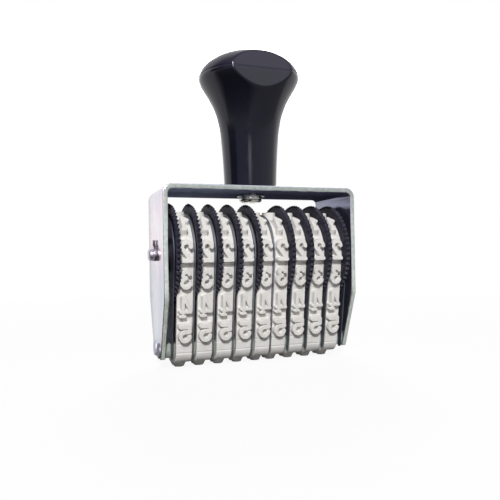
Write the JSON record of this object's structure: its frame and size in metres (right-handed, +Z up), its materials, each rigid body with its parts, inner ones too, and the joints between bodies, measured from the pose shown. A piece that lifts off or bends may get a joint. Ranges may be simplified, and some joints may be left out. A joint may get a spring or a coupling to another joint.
{
  "type": "hand numbering stamp",
  "caption": "Hand stamp that prints a row of figures: raised characters on endless rubber bands, set by toothed thumbwheels in a steel frame under a domed handle.",
  "frame": {"origin": "on the printing plane, under the middle of the platen bar", "axes": "+Z up along the handle, -Y to the front (the side with the handle's flat), +X to the right seen from the front, along the wheels' axle"},
  "size_m": [0.044, 0.0209, 0.0654],
  "materials": {
    "handle": "glossy",
    "brass": "satin",
    "steel_screw": "satin",
    "plated_frame": "polished",
    "steel_axle": "satin",
    "dark_steel": "satin",
    "platen": "satin",
    "wheel": "satin",
    "band": "matte",
    "separator": "satin"
  },
  "bodies": {
    "stamp": {"handle": "handle", "handle_insert": "brass", "handle_screw": "steel_screw", "lock_washer": "steel_screw", "frame": "plated_frame", "axle": "steel_axle", "axle_clip_left": "dark_steel", "axle_clip_right": "dark_steel", "end_washer_left": "steel_screw", "end_washer_right": "steel_screw", "end_separator_left": "separator", "end_separator_right": "separator", "platen_bar": "platen", "rivet_left_front": "dark_steel", "rivet_left_back": "dark_steel", "rivet_right_front": "dark_steel", "rivet_right_back": "dark_steel", "band_1": "band", "band_2": "band", "band_3": "band", "band_4": "band", "band_5": "band", "band_6": "band", "band_7": "band", "band_8": "band", "band_9": "band", "separator_1": "separator", "separator_2": "separator", "separator_3": "separator", "separator_4": "separator", "separator_5": "separator", "separator_6": "separator", "separator_7": "separator", "separator_8": "separator"},
    "wheel_1": {"wheel_1": "wheel"},
    "wheel_2": {"wheel_2": "wheel"},
    "wheel_3": {"wheel_3": "wheel"},
    "wheel_4": {"wheel_4": "wheel"},
    "wheel_5": {"wheel_5": "wheel"},
    "wheel_6": {"wheel_6": "wheel"},
    "wheel_7": {"wheel_7": "wheel"},
    "wheel_8": {"wheel_8": "wheel"},
    "wheel_9": {"wheel_9": "wheel"}
  },
  "joints": [
    {"name": "wheel_1_turn", "type": "hinge", "parent": "stamp", "child": "wheel_1", "pos_m": [0, 0, 0.0227], "axis": [1, 0, 0], "continuous": true},
    {"name": "wheel_2_turn", "type": "hinge", "parent": "stamp", "child": "wheel_2", "pos_m": [0, 0, 0.0227], "axis": [1, 0, 0], "continuous": true},
    {"name": "wheel_3_turn", "type": "hinge", "parent": "stamp", "child": "wheel_3", "pos_m": [0, 0, 0.0227], "axis": [1, 0, 0], "continuous": true},
    {"name": "wheel_4_turn", "type": "hinge", "parent": "stamp", "child": "wheel_4", "pos_m": [0, 0, 0.0227], "axis": [1, 0, 0], "continuous": true},
    {"name": "wheel_5_turn", "type": "hinge", "parent": "stamp", "child": "wheel_5", "pos_m": [0, 0, 0.0227], "axis": [1, 0, 0], "continuous": true},
    {"name": "wheel_6_turn", "type": "hinge", "parent": "stamp", "child": "wheel_6", "pos_m": [0, 0, 0.0227], "axis": [1, 0, 0], "continuous": true},
    {"name": "wheel_7_turn", "type": "hinge", "parent": "stamp", "child": "wheel_7", "pos_m": [0, 0, 0.0227], "axis": [1, 0, 0], "continuous": true},
    {"name": "wheel_8_turn", "type": "hinge", "parent": "stamp", "child": "wheel_8", "pos_m": [0, 0, 0.0227], "axis": [1, 0, 0], "continuous": true},
    {"name": "wheel_9_turn", "type": "hinge", "parent": "stamp", "child": "wheel_9", "pos_m": [0, 0, 0.0227], "axis": [1, 0, 0], "continuous": true}
  ]
}
